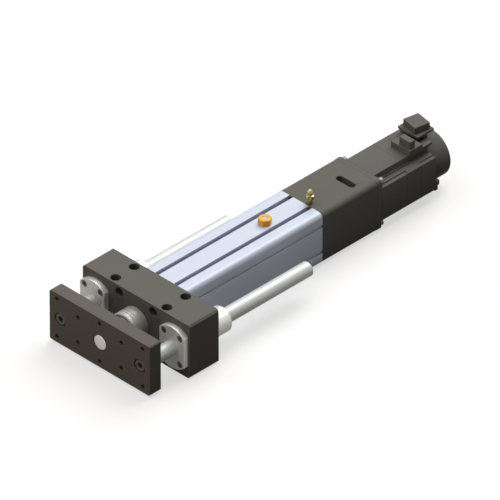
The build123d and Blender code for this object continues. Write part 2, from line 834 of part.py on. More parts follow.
def make_front_bell():
    """The motor's front casting: pilot, square flange and the front of the notched body."""
    m5_r = m5_screw[0]
    with BuildPart() as bell:
        with BuildSketch(across(motor_flange_back)):
            RectangleRounded(body_width, body_width, body_corner_r)
        extrude(amount=motor_flange_thickness)
        with BuildSketch(across(coupling_housing_back)):
            Circle(motor_pilot_r)
        extrude(amount=motor_pilot_length)
        with BuildSketch(across(front_bell_back)):
            Polygon(*frame_section(True), align=None)
        extrude(amount=front_bell_length)
        with BuildSketch(across(front_bell_back)):
            Circle(motor_bore_r)
        extrude(amount=front_bell_back - front_bearing_back, mode=Mode.SUBTRACT)
        with BuildSketch(across(front_bearing_back)):
            Circle(front_bearing_r)
        extrude(amount=front_bearing_width, mode=Mode.SUBTRACT)
        with BuildSketch(across(front_bearing_front)):
            Circle(motor_shaft_r + head_clearance)
        extrude(amount=front_bearing_front - pilot_front, mode=Mode.SUBTRACT)
        with BuildSketch(across(motor_flange_back)):
            with Locations(*four_corners(motor_screw_spacing, motor_screw_spacing)):
                Circle(m5_r + 0.25)
        extrude(amount=motor_flange_thickness, mode=Mode.SUBTRACT)
    return bell.part


def make_stator_frame():
    """The middle of the motor body, round the stator. It has no ribs on its edges."""
    with BuildPart() as frame:
        with BuildSketch(across(stator_frame_back)):
            Polygon(*frame_section(False), align=None)
            Circle(motor_bore_r, mode=Mode.SUBTRACT)
        extrude(amount=stator_frame_length)
    return frame.part


def make_rear_bell():
    """The motor's rear casting, with the rear bearing's boss and two lead clip ears."""
    with BuildPart() as bell:
        with BuildSketch(across(motor_back)):
            Polygon(*frame_section(True), align=None)
        extrude(amount=rear_bell_length)
        with BuildSketch(across(rear_wall_front)):
            Circle(motor_bore_r)
            Circle(rear_boss_r, mode=Mode.SUBTRACT)
        extrude(amount=rear_wall_front - stator_frame_back, mode=Mode.SUBTRACT)
        with BuildSketch(across(rear_bearing_front)):
            Circle(rear_boss_r)
        extrude(amount=rear_bearing_front - stator_frame_back, mode=Mode.SUBTRACT)
        with BuildSketch(across(rear_bearing_back)):
            Circle(rear_bearing_r)
        extrude(amount=rear_bearing_width, mode=Mode.SUBTRACT)
        with BuildSketch(across(motor_back)):
            Circle(rear_seat_r + head_clearance)
        extrude(amount=motor_back - rear_bearing_back, mode=Mode.SUBTRACT)
        for bottom, height, reach in clip_ears:
            with BuildSketch(Plane.YZ.offset(body_half)):
                with Locations((motor_back, axis_z + bottom)):
                    Rectangle(reach, height, align=(Align.MIN, Align.MIN))
            extrude(amount=-clip_ear_thickness)
    return bell.part


def make_stator_core():
    """The laminated ring with slots that open towards the rotor."""
    inner_r = rotor_r + magnet_thickness + air_gap
    outer_r = motor_bore_r - seat_fit
    slot_length = outer_r - stator_yoke - inner_r
    with BuildPart() as core:
        with BuildSketch(across(rotor_back)):
            Circle(outer_r)
            Circle(inner_r, mode=Mode.SUBTRACT)
            with PolarLocations(inner_r + slot_length / 2 - 1.0, stator_slots):
                Rectangle(slot_length + 2.0, stator_slot_width, mode=Mode.SUBTRACT)
        extrude(amount=rotor_length)
    return core.part


def make_stator_windings():
    """The copper end turns before and behind the core."""
    inner_r = rotor_r + magnet_thickness + air_gap + 1.0
    outer_r = motor_bore_r - 1.0
    with BuildPart() as windings:
        add(ring(rotor_front - winding_length, rotor_front, inner_r, outer_r))
        add(ring(rotor_back, rotor_back + winding_length, inner_r, outer_r))
    return windings.part


def make_motor_shaft():
    """The rotor shaft, from the coupling to the encoder disc."""
    shaft_front = coupling_housing_back - motor_shaft_reach
    disc_back = motor_back + disc_gap + disc_thickness + 1.5
    return turned([(shaft_front, 0), (shaft_front, motor_shaft_r - 0.6),
                   (shaft_front + 0.6, motor_shaft_r), (front_bearing_front, motor_shaft_r),
                   (front_bearing_front, front_seat_r), (front_bearing_back, front_seat_r),
                   (rotor_front, front_seat_r + 1.0), (rotor_back, front_seat_r + 1.0),
                   (rear_bearing_front, front_seat_r), (rear_bearing_front, rear_seat_r),
                   (rear_bearing_back, rear_seat_r), (rear_bearing_back, encoder_stub_r),
                   (disc_back, encoder_stub_r), (disc_back, 0)])


def make_motor_bearings():
    """The outer rings of the motor's two bearings."""
    with BuildPart() as rings:
        add(bearing_outer(front_bearing_front, front_bearing_width,
                          front_seat_r + seat_fit, front_bearing_r - seat_fit))
        add(bearing_outer(rear_bearing_front, rear_bearing_width,
                          rear_seat_r + seat_fit, rear_bearing_r - seat_fit))
    return rings.part


def make_motor_bearing_inners():
    """The inner rings of the motor's two bearings, which turn with the shaft."""
    with BuildPart() as rings:
        add(bearing_inner(front_bearing_front, front_bearing_width,
                          front_seat_r + seat_fit, front_bearing_r - seat_fit))
        add(bearing_inner(rear_bearing_front, rear_bearing_width,
                          rear_seat_r + seat_fit, rear_bearing_r - seat_fit))
    return rings.part


def make_rotor():
    """The magnet ring on its core, round the motor shaft."""
    return ring(rotor_front, rotor_back, front_seat_r + 1.0 + seat_fit, rotor_r + magnet_thickness)


def make_encoder_disc():
    """The encoder's code disc on the shaft's stub."""
    front = motor_back + disc_gap
    return ring(front, front + disc_thickness, encoder_stub_r + seat_fit, disc_r)


def make_encoder_board():
    """The encoder's circuit board on its three spacers."""
    board_front = motor_back + board_gap
    with BuildPart() as board:
        with BuildSketch(across(board_front + board_thickness)):
            Circle(board_r)
        extrude(amount=board_thickness)
        with BuildSketch(across(board_front)):
            with PolarLocations(spacer_spread, 3, start_angle=90):
                Circle(spacer_r)
        extrude(amount=board_gap)
    return board.part


def saddle_sketch(plane):
    """Outline of the saddle that carries the power connector. Its front is bowed."""
    side = saddle_width / 2
    front = motor_back + saddle_front
    back = motor_back + saddle_back
    with BuildSketch(plane) as saddle:
        with BuildLine():
            ThreePointArc((-side, front + saddle_bow), (0, front), (side, front + saddle_bow))
            Polyline((side, front + saddle_bow), (side, back), (-side, back),
                     (-side, front + saddle_bow))
        make_face()
    return saddle.sketch


def make_encoder_cover():
    """The round rear cover, with the saddle that reaches forwards over the motor's top."""
    back = motor_back + saddle_back
    with BuildPart() as cover:
        with BuildSketch(across(cover_back)):
            Circle(cover_r)
        extrude(amount=cover_length)
        fillet(cover.faces().sort_by(Axis.Y)[-1].edges(), radius=cover_edge_r)
        add(extrude(saddle_sketch(Plane.XY.offset(body_top)), amount=saddle_height,
                    mode=Mode.PRIVATE))
        with BuildSketch(Plane.XY.offset(body_top)):
            with Locations((0, back)):
                Rectangle(saddle_width, back - motor_back, align=(Align.CENTER, Align.MAX))
        extrude(amount=-(body_half - cover_r + 10.0))
        with BuildSketch(across(cover_back - cover_wall)):
            Circle(cover_r - cover_wall)
        extrude(amount=cover_length - cover_wall, mode=Mode.SUBTRACT)
    return cover.part


def make_power_flange():
    """The flange plate under the power connector."""
    with BuildPart() as flange:
        with BuildSketch(Plane.XY.offset(saddle_top)):
            with Locations((0, motor_back + power_centre_y)):
                RectangleRounded(power_flange_width, power_flange_length, 1.0)
        extrude(amount=power_flange_thickness)
    return flange.part


def make_power_connector():
    """The power connector's block, turned a little on its flange."""
    with BuildPart() as connector:
        with BuildSketch(Plane.XY.offset(saddle_top + power_flange_thickness)):
            with Locations(Location((0, motor_back + power_centre_y, 0), power_block_turn)):
                with Locations((0, power_block_shift)):
                    Rectangle(power_block_width, power_block_length)
        extrude(amount=power_block_height)
    return connector.part


def make_signal_base():
    """The stepped base of the signal connector on top of the motor."""
    back = motor_back - signal_base_end
    right = signal_base_left + signal_base_width
    with BuildPart() as base:
        with BuildSketch(Plane.XY.offset(body_top)):
            with Locations((right, back)):
                Rectangle(signal_base_width, signal_base_length, align=(Align.MAX, Align.MAX))
        extrude(amount=signal_base_height)
        with BuildSketch(Plane.XY.offset(body_top)):
            with Locations((right, back)):
                Rectangle(signal_step_width, signal_step_length, align=(Align.MAX, Align.MIN))
        extrude(amount=signal_step_height)
        add(extrude(saddle_sketch(Plane.XY.offset(body_top)), amount=saddle_height,
                    mode=Mode.PRIVATE), mode=Mode.SUBTRACT)
    return base.part


def make_signal_connector():
    """The signal connector's upright block."""
    front = motor_back - signal_base_end - signal_base_length + signal_block_inset_y
    right = signal_base_left + signal_base_width - signal_block_inset_x
    with BuildPart() as connector:
        with BuildSketch(Plane.XY.offset(body_top + signal_base_height)):
            with Locations((right, front)):
                Rectangle(signal_block_width, signal_block_length, align=(Align.MAX, Align.MIN))
        extrude(amount=signal_block_height)
    return connector.part


def front_screws(size, length, head_top, places):
    """Screws whose heads face the front, at places (x, z) from the axis."""
    return screw_group(size, length, [Plane(origin=(x, head_top, axis_z + z), x_dir=(1, 0, 0),
                                            z_dir=(0, -1, 0)) for x, z in places])


def back_screws(size, length, head_top, places):
    """Screws whose heads face the motor end, at places (x, z) from the axis."""
    return screw_group(size, length, [facing_back(head_top, x, z) for x, z in places])


def build_all():
    """Make every sub-part and write one file for each."""
    left = -rod_spacing / 2
    right = rod_spacing / 2
    body_corners = four_corners(body_screw_spacing, body_screw_spacing)
    bush_corners = four_corners(bush_screw_spacing_x, bush_screw_spacing_z)
    bush_places = [(rod_x + x, z) for rod_x in (left, right) for x, z in bush_corners]

    save("guide_block", make_guide_block())
    for side, x in (("left", left), ("right", right)):
        save(f"bush_{side}", make_bush(x))
        save(f"ball_sleeve_{side}", make_ball_sleeve(x))
        save(f"bush_end_rings_{side}", make_bush_end_rings(x))
        save(f"guide_rod_{side}", make_guide_rod(x))
    bush_head_top = flange_front + 0.1
    save("bush_screws", front_screws(
        m4_screw, bush_flange_thickness - 0.1 - m4_screw[2] + bush_screw_reach,
        bush_head_top, bush_places))
    save("block_screws", front_screws(
        m6_screw, block_depth - body_screw_recess - m6_screw[2] + body_screw_reach,
        block_front + body_screw_recess, body_corners))
    save("nose_collar", make_nose_collar())
    save("rod_wiper", ring(wiper_front, wiper_rear, tube_r + running_fit, wiper_r - seat_fit))
    save("nose_bush", ring(wiper_rear, block_back, tube_r + running_fit,
                           collar_bore_r - seat_fit))
    spigot_back = block_back + spigot_length
    save("front_damper", ring(spigot_back, spigot_back + damper_length, tube_r + 0.6,
                              cylinder_bore_r - damper_clearance))

    save("tool_plate", make_tool_plate())
    save("rod_screws", front_screws(
        m8_screw, rod_front + rod_screw_reach - plate_front - rod_screw_recess - m8_screw[2],
        plate_front + rod_screw_recess, [(left, 0), (right, 0)]))
    save("rod_end", make_rod_end())
    save("thrust_tube", ring(tube_front, tube_rear, tube_bore_r, tube_r))
    save("nut_carrier", make_nut_carrier())
    save("ball_nut", ring(nut_front, nut_rear, screw_r + running_fit, nut_r))
    save("nut_lock_ring", ring(nut_rear, carrier_rear, screw_r + screw_clearance, nut_r))
    wear_front = carrier_front + wear_ring_offset
    save("wear_ring", ring(wear_front, wear_front + wear_ring_length,
                           carrier_r - wear_ring_depth + seat_fit, cylinder_bore_r - running_fit))
    magnet_front = carrier_front + magnet_offset
    save("position_magnet", ring(magnet_front, magnet_front + magnet_length,
                                 carrier_r - magnet_depth + seat_fit, carrier_r - 0.3))

    save("profile", make_profile())
    save("breather_plug", make_breather_plug())
    save("breather_disc", make_breather_disc())

    save("ball_screw", make_ball_screw())
    save("screw_tip_ring", ring(screw_tip, screw_thread_start, screw_tip_r + seat_fit,
                                tube_bore_r - running_fit))
    save("screw_bearings", make_screw_bearings())
    save("screw_bearing_inners", make_screw_bearing_inners())
    save("bearing_cover", ring(bearing_back, bearing_back + bearing_cover_length,
                               bearing_cover_bore_r, cylinder_bore_r - seat_fit))
    save("bearing_lock_nut", ring(bearing_back, lock_nut_back, journal_r + thread_fit,
                                  lock_nut_r))
    save("rear_damper", ring(spigot_front - damper_length, spigot_front,
                             screw_r + screw_clearance, cylinder_bore_r - damper_clearance))
    save("bearing_housing", make_bearing_housing())
    save("bearing_housing_screws", back_screws(
        m6_screw, bearing_housing_length - 0.2 - m6_screw[2] + body_screw_reach,
        housing_back - 0.2, body_corners))
    save("grease_nipple", make_grease_nipple())

    save("screw_hub", make_screw_hub())
    save("coupling_spider", make_spider())
    save("motor_hub", make_motor_hub())
    save("coupling_housing", make_coupling_housing())
    save("coupling_housing_screws", back_screws(
        m4_screw, pilot_front - 0.2 - m4_screw[2] - housing_back + motor_screw_reach,
        pilot_front - 0.2, four_corners(housing_screw_x, housing_screw_z)))

    save("motor_front_bell", make_front_bell())
    save("motor_screws", back_screws(
        m5_screw, motor_flange_thickness + motor_screw_reach,
        motor_flange_back + m5_screw[2], four_corners(motor_screw_spacing, motor_screw_spacing)))
    save("motor_stator_frame", make_stator_frame())
    save("motor_rear_bell", make_rear_bell())
    save("stator_core", make_stator_core())
    save("stator_windings", make_stator_windings())
    save("motor_shaft", make_motor_shaft())
    save("motor_bearings", make_motor_bearings())
    save("motor_bearing_inners", make_motor_bearing_inners())
    save("rotor", make_rotor())
    save("encoder_disc", make_encoder_disc())
    save("encoder_board", make_encoder_board())
    save("encoder_cover", make_encoder_cover())
    save("power_connector_flange", make_power_flange())
    save("power_connector", make_power_connector())
    save("signal_connector_base", make_signal_base())
    save("signal_connector", make_signal_connector())


os.makedirs("parts", exist_ok=True)
build_all()
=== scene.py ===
import json
import math

import bmesh
import bpy
import numpy as np
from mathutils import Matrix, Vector

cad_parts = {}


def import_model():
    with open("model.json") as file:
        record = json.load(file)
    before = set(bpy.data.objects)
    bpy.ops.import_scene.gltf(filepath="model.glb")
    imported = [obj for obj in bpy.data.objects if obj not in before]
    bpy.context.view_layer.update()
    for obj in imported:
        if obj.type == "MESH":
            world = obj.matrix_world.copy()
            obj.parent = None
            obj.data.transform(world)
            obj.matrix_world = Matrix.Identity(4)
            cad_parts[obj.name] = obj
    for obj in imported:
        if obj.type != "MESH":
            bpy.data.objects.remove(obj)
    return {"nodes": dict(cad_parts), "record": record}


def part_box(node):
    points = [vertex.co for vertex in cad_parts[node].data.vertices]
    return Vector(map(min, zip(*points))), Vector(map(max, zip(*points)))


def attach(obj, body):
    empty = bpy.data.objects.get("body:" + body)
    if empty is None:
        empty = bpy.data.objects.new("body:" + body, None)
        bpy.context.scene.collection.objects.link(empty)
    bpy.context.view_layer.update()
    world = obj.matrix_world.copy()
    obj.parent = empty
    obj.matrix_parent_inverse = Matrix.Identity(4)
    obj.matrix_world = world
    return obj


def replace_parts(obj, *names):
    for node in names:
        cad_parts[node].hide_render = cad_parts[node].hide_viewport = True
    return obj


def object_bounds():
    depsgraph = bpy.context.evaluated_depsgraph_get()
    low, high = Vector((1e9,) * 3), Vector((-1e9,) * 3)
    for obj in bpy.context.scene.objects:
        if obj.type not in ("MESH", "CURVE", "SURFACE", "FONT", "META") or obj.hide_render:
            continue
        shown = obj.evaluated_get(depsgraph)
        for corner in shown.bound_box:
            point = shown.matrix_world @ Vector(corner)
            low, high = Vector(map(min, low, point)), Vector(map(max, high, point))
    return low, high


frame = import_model()
cad_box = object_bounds()

MM = 0.001

# Places on the actuator, in metres, read from the frame
AXIS_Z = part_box("guide_block")[1][2] / 2
BODY_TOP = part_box("profile")[1][2]
BLOCK_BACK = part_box("guide_block")[1][1]
PLATE_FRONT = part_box("tool_plate")[0][1]
PLATE_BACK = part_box("tool_plate")[1][1]
ROD_X = (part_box("guide_rod_right")[0][0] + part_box("guide_rod_right")[1][0]) / 2

# Points closer together than this become one
MERGE = 2e-6

# A rounding takes at most this share of the shorter run beside its corner
LONGEST_REACH = 0.45

# Half width of a hexagon too wide to cut a round part, in mm
ROUND = 1000.0

# Faces that meet at less than this angle, in degrees, are shaded as one
SMOOTH = 35.0


# Lines and grids of points

def unit_turn(steps):
    """Angles of one full turn: steps values, evenly spread, the last one short of the first."""
    return np.arange(steps) * (2 * np.pi / steps)


def softened(points, radius, steps=3, closed=True):
    """Round the corners of a line. Each corner P becomes the quadratic curve
    (1-t)^2 A + 2t(1-t) P + t^2 C, where A and C lie on the line before and after the
    corner, at the given radius from it or at 45% of the shorter run."""
    p = np.array(points, float)
    before = np.roll(p, 1, axis=0) - p
    after = np.roll(p, -1, axis=0) - p
    run_before = np.linalg.norm(before, axis=1, keepdims=True)
    run_after = np.linalg.norm(after, axis=1, keepdims=True)
    reach = np.minimum(radius, LONGEST_REACH * np.minimum(run_before, run_after))
    a = p + before / run_before * reach
    c = p + after / run_after * reach
    t = np.linspace(0, 1, steps + 1)[None, :, None]
    arcs = (1 - t) ** 2 * a[:, None] + 2 * t * (1 - t) * p[:, None] + t ** 2 * c[:, None]
    if closed:
        return arcs.reshape(-1, 2)
    return np.vstack([p[:1], arcs[1:-1].reshape(-1, 2), p[-1:]])


def inset(outline, depth):
    """A counterclockwise outline moved inwards: each point goes along (n1 + n2) / (1 + n1.n2),
    where n1 and n2 are the inward normals of the edges that meet in it. The divisor's floor
    keeps the point of a very sharp corner from running away."""
    least = 0.2
    run = np.roll(outline, -1, axis=0) - outline
    after = np.stack([-run[:, 1], run[:, 0]], -1)
    after /= np.maximum(np.linalg.norm(after, axis=1, keepdims=True), 1e-9)
    before = np.roll(after, 1, axis=0)
    share = 1 + (before * after).sum(1, keepdims=True)
    return outline + depth * (before + after) / np.maximum(share, least)


def hexed(rows, steps=96, turn=0.0):
    """Heights, radii and angles of a piece with hexagon parts. Each row gives, in mm, the
    height, the round radius and half the hexagon's width. The radius at angle a is the
    smaller of the round radius and half width / cos(b), where b is the angle from the
    nearest flat's middle."""
    rows = np.array(rows, float) * MM
    a = unit_turn(steps)[None, :]
    b = (a + turn + np.pi / 6) % (np.pi / 3) - np.pi / 6
    flat = rows[:, 2:3] / np.cos(b)
    return rows[:, 0:1] + 0 * a, np.minimum(rows[:, 1:2] + 0 * a, flat), a


def placed(height, radius, angle, base, axis):
    """Grid points of a piece on its own axis: base + height along the axis, and
    radius (cos a, sin a) along the two directions square to it."""
    axis = np.array(axis, float)
    side = np.array((1.0, 0.0, 0.0)) if abs(axis[0]) < 0.5 else np.array((0.0, 1.0, 0.0))
    other = np.cross(axis, side)
    return (np.array(base) + height[..., None] * axis
            + (radius * np.cos(angle))[..., None] * side
            + (radius * np.sin(angle))[..., None] * other)


def grid_quads(rows, cols, rows_closed=False):
    """Faces of a grid of points, row after row. Columns close on themselves, and rows may."""
    r = np.arange(rows if rows_closed else rows - 1)[:, None]
    c = np.arange(cols)[None, :]
    nr = (r + 1) % rows
    nc = (c + 1) % cols
    quads = np.stack([r * cols + c, r * cols + nc, nr * cols + nc, nr * cols + c], -1)
    return quads.reshape(-1, 4)


# Pieces from grids and from CAD nodes

def cleaned(mesh, flat_angle=None):
    """Merge double points and point the faces outwards. Faces that meet at less than the
    flat angle, in degrees, become one. Without that angle only faces with no area go."""
    bm = bmesh.new()
    bm.from_mesh(mesh)
    bmesh.ops.remove_doubles(bm, verts=bm.verts, dist=MERGE)
    if flat_angle is None:
        bmesh.ops.dissolve_degenerate(bm, edges=bm.edges, dist=MERGE / 2)
    else:
        bmesh.ops.dissolve_limit(bm, angle_limit=math.radians(flat_angle), verts=bm.verts,
                                 edges=bm.edges)
    bmesh.ops.recalc_face_normals(bm, faces=bm.faces)
    bm.to_mesh(mesh)
    bm.free()


def piece_of(name, mesh, material, body, smooth_angle=SMOOTH):
    """A piece from a clean mesh: smooth below the given angle, and riding on a body."""
    mesh.shade_smooth()
    mesh.set_sharp_from_angle(angle=math.radians(smooth_angle))
    mesh.materials.append(material)
    piece = bpy.data.objects.new(name, mesh)
    bpy.context.scene.collection.objects.link(piece)
    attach(piece, body)
    return piece


def surface(name, grid, material, body, rows_closed=False, smooth_angle=SMOOTH):
    """A piece from a grid of points, rows by columns. Rows close on themselves, or else
    each end is shut by a fan to the middle of its own row."""
    rows, cols = grid.shape[:2]
    points = grid.reshape(-1, 3)
    faces = grid_quads(rows, cols, rows_closed).tolist()
    if not rows_closed:
        first = len(points)
        points = np.vstack([points, grid[0].mean(0), grid[-1].mean(0)])
        here = np.arange(cols)
        after = (here + 1) % cols
        start_fan = np.stack([np.full(cols, first), after, here], -1)
        last_row = (rows - 1) * cols
        end_fan = np.stack([np.full(cols, first + 1), last_row + here, last_row + after], -1)
        faces += start_fan.tolist() + end_fan.tolist()
    mesh = bpy.data.meshes.new(name)
    mesh.from_pydata(points.tolist(), [], faces)
    cleaned(mesh)
    return piece_of(name, mesh, material, body, smooth_angle)


def joined(name, grids, material, body):
    """One piece of several grids, such as a set of screws, whose end rows are single points."""
    faces = []
    count = 0
    for grid in grids:
        rows, cols = grid.shape[:2]
        faces += (grid_quads(rows, cols) + count).tolist()
        count += rows * cols
    mesh = bpy.data.meshes.new(name)
    mesh.from_pydata(np.vstack([grid.reshape(-1, 3) for grid in grids]).tolist(), [], faces)
    cleaned(mesh)
    return piece_of(name, mesh, material, body)


def turned(name, line, material, body, centre=(0.0, AXIS_Z), closed=True, steps=96):
    """A turned piece about an axis along Y: the point (y, r) of the line goes to
    (cx + r cos a, y, cz + r sin a) for every angle a."""
    a = unit_turn(steps)[None, :]
    y = line[:, 0:1]
    r = line[:, 1:2]
    grid = np.stack([centre[0] + r * np.cos(a), y + 0 * a, centre[1] + r * np.sin(a)], -1)
    return surface(name, grid, material, body, rows_closed=closed)


def stacked(name, levels, material, body):
    """An upright block from (height, outline) levels with equal numbers of points. Both ends
    close on the middle of their outline."""
    rows = [np.column_stack([line, np.full(len(line), z)]) for z, line in levels]
    ends = [np.repeat(row.mean(0)[None, :], len(row), axis=0) for row in (rows[0], rows[-1])]
    return joined(name, [np.stack([ends[0], *rows, ends[1]])], material, body)


def casing(name, outline, front, back, bore):
    """A hollow motor part along Y: the outline with softened ends, and a bore of (radius, y)
    steps, whose points lie on the same rays from the axis as those of the outline."""
    edge = 0.0002
    rays = outline / np.linalg.norm(outline, axis=1, keepdims=True)
    rows = [(inset(outline, edge), front), (outline, front + edge), (outline, back - edge),
            (inset(outline, edge), back)] + [(radius * rays, y) for radius, y in bore]
    grid = np.stack([np.column_stack([line[:, 0], np.full(len(line), y), AXIS_Z + line[:, 1]])
                     for line, y in rows])
    return surface(name, grid, motor_black, "housing", rows_closed=True)


def edged(node, width, body):
    """A copy of a CAD node with its flat faces whole and its edges slightly rounded, as a
    real edge is. The bevel is a modifier, so the copy's own shape stays the node's."""
    name = f"{node}_edged"
    mesh = frame["nodes"][node].data.copy()
    mesh.name = name
    mesh.materials.clear()
    cleaned(mesh, flat_angle=1.0)
    piece = piece_of(name, mesh, material_of(node), body, smooth_angle=25.0)
    bevel = piece.modifiers.new("edges", "BEVEL")
    bevel.width = width
    bevel.segments = 2
    bevel.limit_method = "ANGLE"
    bevel.angle_limit = math.radians(28.0)
    bevel.harden_normals = True
    bevel.use_clamp_overlap = True
    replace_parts(piece, node)


# Shader groups

def new_group(name, inputs, outputs):
    """An empty shader group with float or vector sockets."""
    group = bpy.data.node_groups.new(name, "ShaderNodeTree")
    for socket, kind, value in inputs:
        made = group.interface.new_socket(socket, in_out="INPUT", socket_type=kind)
        made.default_value = value
    for socket in outputs:
        group.interface.new_socket(socket, in_out="OUTPUT", socket_type="NodeSocketFloat")
    return group, group.nodes.new("NodeGroupInput"), group.nodes.new("NodeGroupOutput")


def noise(group, place, scale, detail):
    """Noise read at a place. The scale is a number or another node's output."""
    made = group.nodes.new("ShaderNodeTexNoise")
    made.inputs["Detail"].default_value = detail
    if isinstance(scale, float):
        made.inputs["Scale"].default_value = scale
    else:
        group.links.new(scale, made.inputs["Scale"])
    group.links.new(place, made.inputs["Vector"])
    return made.outputs["Fac"]


def calculated(tree, operation, *values):
    """The result of a sum on other nodes' outputs."""
    made = tree.nodes.new("ShaderNodeMath")
    made.operation = operation
    for value, socket in zip(values, made.inputs):
        tree.links.new(value, socket)
    return made.outputs[0]


def object_place(group):
    """The place on the object, in its own coordinates."""
    return group.nodes.new("ShaderNodeTexCoord").outputs["Object"]


def fine_grain_group():
    """Blasted or moulded grain: two sizes of noise, as a height and a soft patchiness."""
    group, given, result = new_group(
        "fine_grain",
        [("Scale", "NodeSocketFloat", 900.0), ("Patch Scale", "NodeSocketFloat", 30.0)],
        ["Height", "Patches"])
    place = object_place(group)
    fine = noise(group, place, given.outputs["Scale"], 3.0)
    patch = noise(group, place, given.outputs["Patch Scale"], 4.0)
    group.links.new(fine, result.inputs["Height"])
    group.links.new(patch, result.inputs["Patches"])
    return group


def drawn_lines_group():
    """Die or grinding lines that run along one direction: noise stretched along it."""
    group, given, result = new_group(
        "drawn_lines", [("Stretch", "NodeSocketVector", (1500.0, 6.0, 1500.0))],
        ["Height", "Streaks"])
    scaled = group.nodes.new("ShaderNodeVectorMath")
    scaled.operation = "MULTIPLY"
    group.links.new(object_place(group), scaled.inputs[0])
    group.links.new(given.outputs["Stretch"], scaled.inputs[1])
    place = scaled.outputs["Vector"]
    group.links.new(noise(group, place, 1.0, 2.0), result.inputs["Height"])
    group.links.new(noise(group, place, 0.12, 3.0), result.inputs["Streaks"])
    return group


def turned_lines_group():
    """Lathe lines about an axis along Y: noise read at (distance from the axis, y, 0)."""
    group, given, result = new_group(
        "turned_lines",
        [("Axis X", "NodeSocketFloat", 0.0), ("Axis Z", "NodeSocketFloat", AXIS_Z),
         ("Scale", "NodeSocketFloat", 2500.0)],
        ["Height", "Bands"])
    split = group.nodes.new("ShaderNodeSeparateXYZ")
    group.links.new(object_place(group), split.inputs[0])
    squares = []
    for axis in "XZ":
        offset = calculated(group, "SUBTRACT", split.outputs[axis], given.outputs[f"Axis {axis}"])
        squares.append(calculated(group, "MULTIPLY", offset, offset))
    distance = calculated(group, "SQRT", calculated(group, "ADD", *squares))
    place = group.nodes.new("ShaderNodeCombineXYZ")
    group.links.new(distance, place.inputs["X"])
    group.links.new(split.outputs["Y"], place.inputs["Y"])
    fine = noise(group, place.outputs[0], given.outputs["Scale"], 1.0)
    broad = noise(group, place.outputs[0], 260.0, 2.0)
    group.links.new(fine, result.inputs["Height"])
    group.links.new(broad, result.inputs["Bands"])
    return group


GROUPS = {"grain": fine_grain_group(), "lines": drawn_lines_group(),
          "turned": turned_lines_group()}


# Materials

def finish(name, colour, roughness, metallic=0.0, specular=0.5, pattern="grain", values=None,
           bump=0.15, bump_depth=0.00002, colour_swing=0.06, rough_swing=0.08, coat=0.0,
           transmission=0.0):
    """A surface finish. The pattern group gives a height for the bump and a soft mask that
    moves the colour and the roughness a little to both sides of their values. The noise in
    the mask lies mostly between 0.3 and 0.7."""
    smoothest = 0.02
    material = bpy.data.materials.new(name)
    material.use_nodes = True
    nodes = material.node_tree.nodes
    links = material.node_tree.links
    shader = nodes["Principled BSDF"]
    shader.inputs["Metallic"].default_value = metallic
    shader.inputs["Specular IOR Level"].default_value = specular
    shader.inputs["Coat Weight"].default_value = coat
    shader.inputs["Transmission Weight"].default_value = transmission
    effect = nodes.new("ShaderNodeGroup")
    effect.node_tree = GROUPS[pattern]
    for socket, value in (values or {}).items():
        effect.inputs[socket].default_value = value
    mask = effect.outputs[1]
    ramp = nodes.new("ShaderNodeMapRange")
    ramp.inputs["From Min"].default_value = 0.3
    ramp.inputs["From Max"].default_value = 0.7
    ramp.inputs["To Min"].default_value = max(roughness - rough_swing, smoothest)
    ramp.inputs["To Max"].default_value = min(roughness + rough_swing, 1.0)
    links.new(mask, ramp.inputs["Value"])
    links.new(ramp.outputs["Result"], shader.inputs["Roughness"])
    mix = nodes.new("ShaderNodeMix")
    mix.data_type = "RGBA"
    low = [c * (1 - colour_swing) for c in colour]
    high = [min(c * (1 + colour_swing), 1.0) for c in colour]
    mix.inputs["A"].default_value = (*low, 1.0)
    mix.inputs["B"].default_value = (*high, 1.0)
    links.new(mask, mix.inputs["Factor"])
    links.new(mix.outputs["Result"], shader.inputs["Base Color"])
    relief = nodes.new("ShaderNodeBump")
    relief.inputs["Strength"].default_value = bump
    relief.inputs["Distance"].default_value = bump_depth
    links.new(effect.outputs["Height"], relief.inputs["Height"])
    links.new(relief.outputs["Normal"], shader.inputs["Normal"])
    return material


def ground_chrome(place, axis_x):
    """Ground and plated steel, its lines centred on a rod at that X."""
    return finish(f"ground_chrome_{place}", (0.60, 0.62, 0.60), 0.38, metallic=0.14,
                  specular=0.3, pattern="turned", values={"Axis X": axis_x, "Scale": 6000.0},
                  bump=0.03, colour_swing=0.015, rough_swing=0.03)


black = finish("black_anodised_finish", (0.136, 0.131, 0.115), 0.5, specular=0.02,
               values={"Scale": 1400.0, "Patch Scale": 24.0}, bump=0.2)
plate_black = finish("plate_anodised_finish", (0.134, 0.122, 0.105), 0.5, specular=0.02,
                     values={"Scale": 1400.0, "Patch Scale": 18.0}, bump=0.2)
motor_black = finish("motor_paint", (0.134, 0.130, 0.115), 0.5, specular=0.02,
                     values={"Scale": 1100.0, "Patch Scale": 30.0}, bump=0.25)
plastic = finish("connector_moulding", (0.132, 0.128, 0.113), 0.5, specular=0.03,
                 values={"Scale": 1800.0, "Patch Scale": 60.0}, bump=0.2)
extruded = finish("pale_anodised_extrusion", (0.545, 0.585, 0.68), 0.36, metallic=0.08,
                  specular=0.3, pattern="lines", values={"Stretch": (1700.0, 5.0, 1700.0)},
                  bump=0.08, colour_swing=0.02, rough_swing=0.05)
machined = finish("turned_aluminium", (0.47, 0.455, 0.425), 0.46, metallic=0.25, specular=0.35,
                  pattern="turned", bump=0.03, colour_swing=0.03)
rod_end_metal = finish("faced_aluminium", (0.92, 0.895, 0.855), 0.4, metallic=0.7,
                       pattern="turned", bump=0.06, colour_swing=0.03)
nickel = finish("satin_nickel", (0.79, 0.775, 0.73), 0.42, metallic=0.42,
                values={"Scale": 1500.0, "Patch Scale": 40.0}, bump=0.08, colour_swing=0.03)
chrome_left = ground_chrome("left", -ROD_X)
chrome_right = ground_chrome("right", ROD_X)
chrome_tube = ground_chrome("tube", 0.0)
